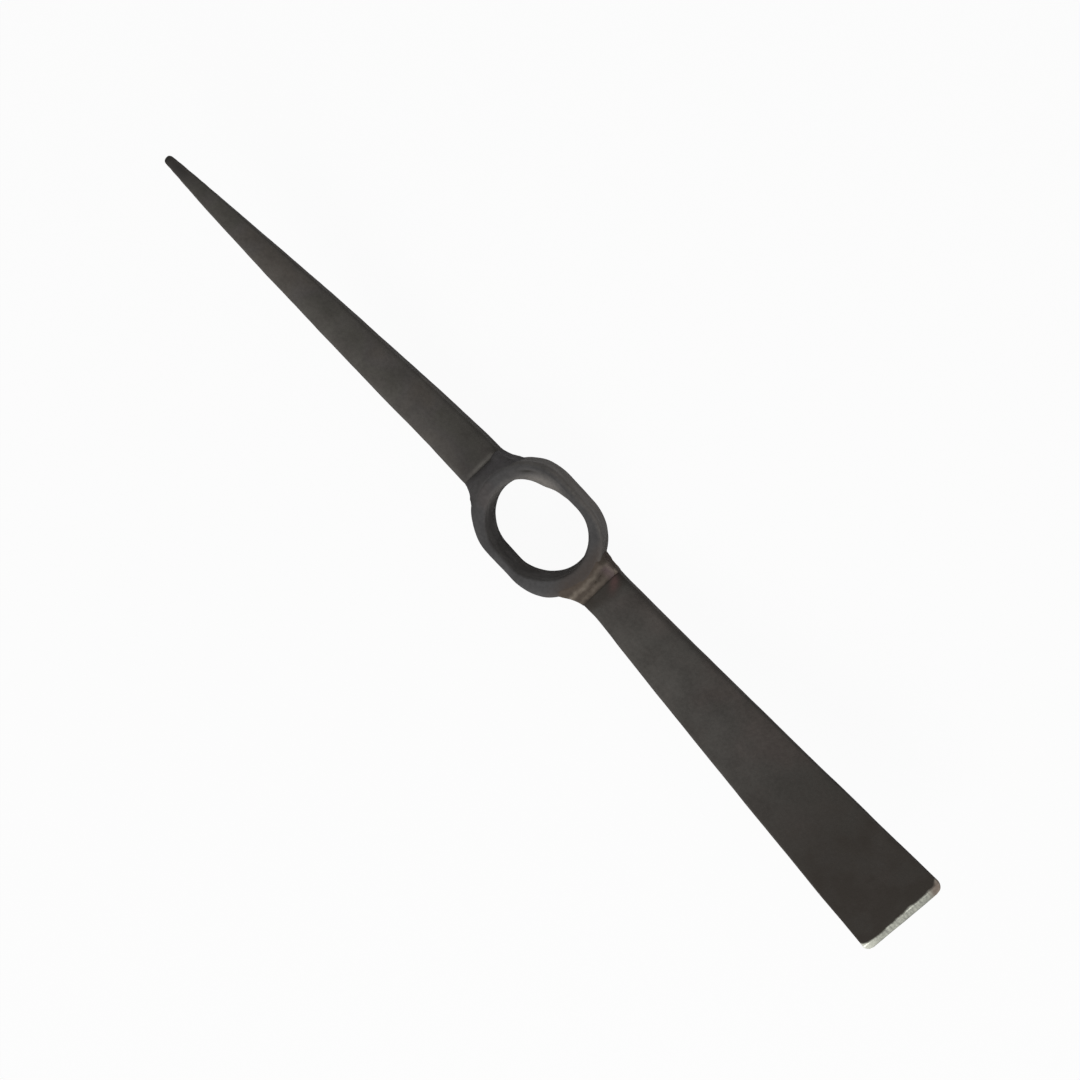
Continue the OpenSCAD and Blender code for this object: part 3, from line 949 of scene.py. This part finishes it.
# %% [markdown]
# ## The welds
# The groove round each arm's nose is filled with runs of weld metal. Seen from above, a joint
# is one outline: the arm's end, a hollow fillet on each side and the collar's wall. Each run
# could be modelled by itself, but then its neighbours would have to be fitted to it. So each
# joint is first made as one gusset. Its outline is sliced both ways into small faces, extruded
# to its full height and shaped from above and below. Then bisecting planes part it into its
# runs, along the mitres between them.

# %% Bare weld metal
# Weld metal under a wire brush: a warm tan with pale crowns and dark valleys; its worn tone also gives
# painted light on the left end, and its soot tone painted shade at the toe
brushed_weld = forge_scale(
    "brushed_weld_metal", tones=("443d37", "4b433c", "50473f"),
    soot="2f2a26", rust="594c4d", worn_and_lit="7f766b")
# Weld metal that was left as it cooled: grey, with a brown bloom of rust; where the runs' finish reaches it,
# its worn tone gives painted light and its soot tone painted shade
rusted_weld = forge_scale(
    "rusted_weld_metal", tones=("4a4746", "4d4a48", "504b48"),
    soot="2f2a26", rust="4b4039", worn_and_lit="7f766b")

# %% Fillets
seat_back = seat_x - (collar_a - collar_b)
weld_bite, toe_bite = 0.2, 0.1
bow_place, bow_spread = 0.6, 0.17


def wall_at(y):
    """How far the collar's wall stands out from the seat's plane, at a place across it."""
    return math.sqrt(collar_b ** 2 - y * y) - seat_back


def fillet(w, leg, spread, toe_angle, bow=0.0, steps=14):
    """A hollow arc in plan, from its toe on the arm's side to its heel in the collar's wall. The
    bow is how far it is filled up just before the heel."""
    toe = Vector((leg, w / 2 - toe_bite))
    heel = Vector((math.sqrt((collar_b - weld_bite) ** 2 - spread ** 2) - seat_back, spread))
    chord = heel - toe
    half_turn = math.atan2(chord.y, -chord.x) - toe_angle
    radius = chord.length / (2 * math.sin(half_turn))
    middle = toe + radius * Vector((math.sin(toe_angle), math.cos(toe_angle)))
    points = []
    for step in range(steps + 1):
        share = step / steps
        angle = toe_angle + 2 * half_turn * share
        filled = bow * bell((share - bow_place) / bow_spread)
        points.append(middle - radius * Vector((math.sin(angle), math.cos(angle))) + Vector((0, filled)))
    return points


print("seat stands", round(seat_back, 2), "in front of the round end's middle")

# %% Block of a gusset
snap = 1e-4
levels = 34
plan_back, plan_side = -8, 20
# The side that is hidden in the collar: its ends, its middle, and how far its ends step in
hidden_end, hidden_middle, hidden_step = -7.5, -4, 1.5


def sliced(bm, point, normal, **keep):
    """Cuts all of a mesh by one plane."""
    return bmesh.ops.bisect_plane(bm, geom=bm.verts[:] + bm.edges[:] + bm.faces[:],
                                  plane_co=point, plane_no=normal, dist=snap, **keep)


def gusset_block(groove, left, right, pitch):
    """A joint's outline as a block from -1 to 1 in height, cut into small faces all over."""
    bm = bmesh.new()
    hidden = [Vector((hidden_end, left[-1].y - hidden_step)), Vector((hidden_middle, 0)),
              Vector((hidden_end, right[0].y + hidden_step))]
    outline = [Vector((groove, right[-1].y)), Vector((groove, left[0].y)), *left, *hidden, *right]
    corners = [bm.verts.new((p.x, p.y, -1)) for p in outline]
    bmesh.ops.contextual_create(bm, geom=corners)
    for way, low, high in (((1, 0, 0), plan_back, groove), ((0, 1, 0), -plan_side, plan_side)):
        for step in range(1, int((high - low) / pitch)):
            sliced(bm, (low + step * pitch) * Vector(way), way)
    raised = bmesh.ops.extrude_face_region(bm, geom=bm.faces[:])["geom"]
    bmesh.ops.translate(bm, vec=(0, 0, 2), verts=only(bmesh.types.BMVert, raised))
    for step in range(1, 2 * levels):
        sliced(bm, (0, 0, step / levels - 1), (0, 0, 1))
    return bm


print("a gusset has", 2 * levels, "layers")

# %% [markdown]
# ## The skin of the welds
# A weld is laid in beads, so its flanks show fine ripples and some lumps, and its border on the
# collar wanders. A noise in the material could only paint that, so the flanks' own vertices
# move along their normals, and less near both rims.

# %% Gusset
bead_step, bead_height = 2.6, 0.13
sway_height, sway_size, sway_bow, flank_middle = 2.4, 4, 0.2, 14
lump_size, lump_height = 5.0, 0.45
border_band, heel_band, border_size, border_height, border_least = (4.0, 1), (-0.2, 0.4), 2.6, 0.75, 0.4
on_rim, rim_calm = 0.01, 4


def foot(point, a, b):
    """The nearest point of the stretch from a to b."""
    way = b - a
    share = max(0.0, min(1.0, (point - a).dot(way) / way.length_squared))
    return a + share * way


def ripple(vert, side):
    """How far a vertex of a flank moves along its normal."""
    sway = sway_height * noise.noise(vert.co / sway_size) + sway_bow * (abs(vert.co.y) - flank_middle) ** 2
    uneven = bead_height * math.sin(2 * math.pi * vert.co.z / bead_step + sway)
    uneven += lump_height * noise.noise(vert.co / lump_size)
    off_wall = vert.co.x * side - wall_at(vert.co.y)
    by_collar = smooth(border_band, off_wall) * smooth(heel_band, off_wall)
    return uneven - border_height * by_collar * max(0.0, border_least + noise.noise(vert.co / border_size))


def gusset(groove, left, right, top, finish, rim, pitch, side):
    """One joint's weld metal. left and right are fillets, top gives its half height at x and y,
    and finish its soot and painted shade, rust, and wear and painted light there, at a share of that height."""
    right = [Vector((p.x, -p.y)) for p in reversed(right)]
    bm = gusset_block(groove, left, right, pitch)
    layers = {name: bm.verts.layers.float.new(name) for name in ("soot", "rust", "wear")}
    rims = list(zip(left, left[1:])) + list(zip(right, right[1:]))
    flanks = []
    for vert in bm.verts:
        here = vert.co.xy.copy()
        near = min((here - foot(here, a, b)).length for a, b in rims)
        drop = rim - math.sqrt(max(0.0, rim ** 2 - max(0.0, rim - near) ** 2))
        for name, amount in finish(here.x, here.y, abs(vert.co.z)).items():
            vert[layers[name]] = amount
        if near < on_rim and abs(vert.co.z) < 1:
            flanks.append((vert, min(1.0, rim_calm * (1 - vert.co.z ** 2))))
        vert.co.z *= top(here.x, here.y) - drop
        vert.co.x *= side
    bmesh.ops.recalc_face_normals(bm, faces=bm.faces)
    bm.normal_update()
    for vert, share in flanks:
        vert.co += share * ripple(vert, side) * Vector((vert.normal.x, vert.normal.y, 0))
    return bm


print("beads every", bead_step, "mm, lumps of", lump_size, "mm")

# %% Parting a gusset into runs
def parted(gusset_bm, planes):
    """A copy of a gusset that keeps what lies behind every plane, with each cut closed."""
    bm = gusset_bm.copy()
    for point, normal in planes:
        cut = sliced(bm, point, normal, clear_outer=True)["geom_cut"]
        bmesh.ops.edgeloop_fill(bm, edges=only(bmesh.types.BMEdge, cut))
    return bm


def mitres(w, t, nose):
    """For each side of a joint, the planes that part its run from the others."""
    slope = (t - nose) / (w - seat_w)
    y, z = seat_w / 2, nose / 2
    planes = {
        "top": [((0, y, z), (0, slope, -1)), ((0, -y, z), (0, -slope, -1)), ((0, 0, z), (0, 0, -1))],
        "left": [((0, y, z), (0, -slope, 1)), ((0, y, -z), (0, -slope, -1)), ((0, y, 0), (0, -1, 0))],
    }
    planes["bottom"] = [((0, p[1], -p[2]), (0, n[1], -n[2])) for p, n in planes["top"]]
    planes["right"] = [((0, -p[1], p[2]), (0, -n[1], n[2])) for p, n in planes["left"]]
    return planes


print("runs:", list(mitres(*pick_root, pick_nose)))

# %% [markdown]
# ## The pick's welds
# On the pick's side the weld was ground and heated again, so its upper face is one smooth neck.
# It lies flush with the arm on the left and sinks into a crease before the arm's rolled edge, and
# painted shade darkens that crease. The neck could be one loft, but as a height over the plan it
# meets both neighbours.

# %% Pick weld surface
neck_wall, neck_highest = 16.75, 17.6
toe_step, toe_flush, flush_band = 1.0, 0.85, (5, 9)
neck_crease, neck_crease_band, neck_fade, neck_fade_band = 0.75, (3.4, 5.2), 0.6, (-3, -8)
# Painted shade in the neck's crease
neck_shade, neck_shade_band, neck_shade_left_band = 0.35, (4.0, 5.2), (9, 6)
neck_rough, neck_rough_size = 0.14, 2.5


def right_fade(y):
    """Lessens the neck's crease towards the right."""
    return 1 - neck_fade * smooth(neck_fade_band, y)


def pick_top(x, y):
    """Half the height of the neck at a place: from the collar's wall down to the arm."""
    flush = smooth(flush_band, y)
    crown = pick_crown * (2 * y / pick_root[0]) ** 2
    toe = pick_root[1] / 2 - crown - toe_step + toe_flush * flush
    share = min(1.0, (x - wall_at(y)) / (pick_groove - wall_at(y)))
    crease = neck_crease * smooth(neck_crease_band, x) * (1 - flush) * right_fade(y)
    uneven = neck_rough * wavy(x, y, seed=3, size=neck_rough_size)
    return min(neck_highest, neck_wall + (toe - neck_wall) * share) - crease + uneven


def pick_finish(x, y, level):
    """Painted shade in the neck's crease, the same at every level."""
    in_crease = smooth(neck_shade_band, x) * smooth(neck_shade_left_band, y) * right_fade(y)
    return {"soot": neck_shade * in_crease}


print("the neck stands", round(pick_top(0, 0), 2), "mm above the middle at the seat")

# %% Pick welds
pick_left = fillet(pick_root[0] + 0.9, leg=6.2, spread=16.8, toe_angle=math.radians(7))
pick_right = fillet(pick_root[0] + 0.3, leg=6.2, spread=18.4, toe_angle=math.radians(8), bow=0.5)
joint = gusset(pick_groove, pick_left, pick_right, pick_top, pick_finish, rim=2.4, pitch=0.7, side=-1)
for side, planes in mitres(*pick_root, pick_nose).items():
    bm = parted(joint, planes)
    bmesh.ops.translate(bm, vec=(-seat_x, 0, mid_z), verts=bm.verts)
    hand_over(bm, "pick_bead_" + side, "pick_weld_" + side, scaled_weld)
joint.free()

# %% [markdown]
# ## The blade's welds
# On the blade's side two runs lie side by side, with a valley between them. The inner one laps
# over the collar's rim. Both were wire-brushed, which left their crowns pale and the valley
# dark, and their left end has a pinkish bloom. That end's rim is painted lighter too, as painted
# light over brushed wear, and painted shade darkens their toe on the blade. The same height over
# the plan gives both runs, and one more plane parts them along the valley.

# %% Blade weld surface
inner_w, run_slant, valley = 3.8, 0.14, blade_root[1] / 2 + 1.5
lap_base, lap_height, lap_front_band, lap_back_band = 17.4, 0.55, (0.5, -1.8), (-3.4, -2.4)
shoulder_drop, shoulder_band = 3.8, (9, 13.2)
inner_crown, outer_crown, blade_toe_step = 3.0, 2.6, 0.4
run_bead, run_bead_step, run_bead_sway, run_lump, run_wander = 0.3, 2.3, 2, 0.6, 0.5


def blade_top(x, y):
    """Half the height of the two runs at a place: each is crowned, and they meet in the valley."""
    over = x - min(0.0, wall_at(y))
    lap = lap_height * smooth(lap_front_band, over) * smooth(lap_back_band, over)
    wall = lap_base + lap - shoulder_drop * smooth(shoulder_band, y)
    if x < 0:
        return wall
    toe = blade_root[1] / 2 - blade_crown * (2 * y / blade_root[0]) ** 2 - blade_toe_step
    sway = run_bead_sway * wavy(x, y, seed=7, size=6)
    bead = run_bead * math.sin(2 * math.pi * y / run_bead_step + sway)
    lump = 1 + run_lump * wavy(x, y, seed=9, size=5)
    parting = inner_w - run_slant * y + run_wander * wavy(0, y, seed=5, size=4)
    if x < parting:
        share = x / parting
        return wall + (valley - wall) * share + (inner_crown + bead) * lump * share * (1 - share)
    share = min(1.0, (x - parting) / (blade_groove - parting))
    return valley + (toe - valley) * share + (outer_crown + bead) * lump * share * (1 - share)


print("valley between the runs at", valley)

# %% Blade weld finish
inner_wear, outer_wear, run_wear_width, crown_level_band = 0.66, 0.2, 1.2, (0.7, 0.95)
inner_line, outer_line, line_bend, line_bend_from, line_wander = 1.5, 5.6, 0.2, 2, 0.9
inner_least, inner_band, outer_least, outer_band = 0.3, (6, -3), 0.5, (8, 0)
# Painted light on the left end's rim, which faces away from the lamp, with brushed wear
end_light_and_wear, end_toe_light_and_wear, end_least, end_level_band = 0.3, 0.25, 0.5, (0.55, 0.85)
end_band, end_toe_band, end_back_band, end_front_band = (9, 11.2), (3, 6), (-2.5, 0.5), (8.4, 6.8)
bloom, bloom_band, bloom_level_band, bloom_back_band = 0.8, (5, 11), (0.5, 0.8), (-0.5, 2.5)
flank_rust, flank_level_band, flank_heel_band = 0.7, (0.9, 0.75), (16.8, 13.2)
# Painted shade at the toe, where the outer run meets the blade
toe_shade, toe_shade_from, toe_shade_wander, toe_shade_to = 0.8, 6.6, 1.2, 8.2
patchiness = 0.8


def blade_finish(x, y, level):
    """Wear on the crowns, painted light with wear on the left end, rust on the left end and the flanks,
    painted shade at the toe.
    """
    wander = wavy(0, y, seed=13, size=2.5)
    crown = inner_line - line_bend * max(0.0, y - line_bend_from) + line_wander * wander
    inner = inner_wear * bell((x - crown) / run_wear_width) * at_least(inner_least, inner_band, y)
    outer = outer_wear * bell((x - outer_line - wander) / run_wear_width)
    runs = (inner + outer * at_least(outer_least, outer_band, y)) * smooth(crown_level_band, level)
    # The left end: painted light with brushed wear
    lit_left_end = (end_light_and_wear + end_toe_light_and_wear * smooth(end_toe_band, x)) * smooth(end_level_band, level)
    lit_left_end *= smooth(end_band, y) * at_least(end_least, end_back_band, x) * smooth(end_front_band, x)
    left_bloom = bloom * smooth(bloom_level_band, level) * smooth(bloom_band, y) * smooth(bloom_back_band, x)
    flank = flank_rust * smooth(flank_level_band, level) * smooth(flank_heel_band, abs(y))
    return {
        "wear": max(runs, lit_left_end) * (1 + patchiness * wavy(x, y, seed=11, size=3)),
        "rust": max(left_bloom, flank),
        # Painted shade at the toe
        "soot": toe_shade * smooth((toe_shade_from + toe_shade_wander * wander, toe_shade_to), x),
    }


print("wear on the runs' crowns:", inner_wear, "and", outer_wear)

# %% Blade welds
blade_left = fillet(blade_root[0] + 1.2, leg=5.0, spread=13.0, toe_angle=math.radians(1))
blade_right = fillet(blade_root[0], leg=7.5, spread=19.0, toe_angle=math.radians(2), bow=0.8)
joint = gusset(blade_groove, blade_left, blade_right, blade_top, blade_finish, rim=1.6, pitch=0.55, side=1)
parting = (inner_w, 0, 0)
both_runs = {"_inner": [(parting, (1, run_slant, 0))], "_outer": [(parting, (-1, -run_slant, 0))]}
for side, planes in mitres(*blade_root, blade_nose).items():
    brushed = side in ("top", "bottom")
    slot, material = ("brushed_weld", brushed_weld) if brushed else ("scaled_weld", rusted_weld)
    for run_name, cuts in (both_runs if brushed else {"": []}).items():
        bm = parted(joint, planes + cuts)
        bmesh.ops.translate(bm, vec=(seat_x, 0, mid_z), verts=bm.verts)
        hand_over(bm, "blade_bead_" + side + run_name, "blade_weld_" + side + run_name, material)
joint.free()

# %% [markdown]
# ## Sizes and finish
# The dressed head has to stay the size of the solids.

# %% Sizes
import json
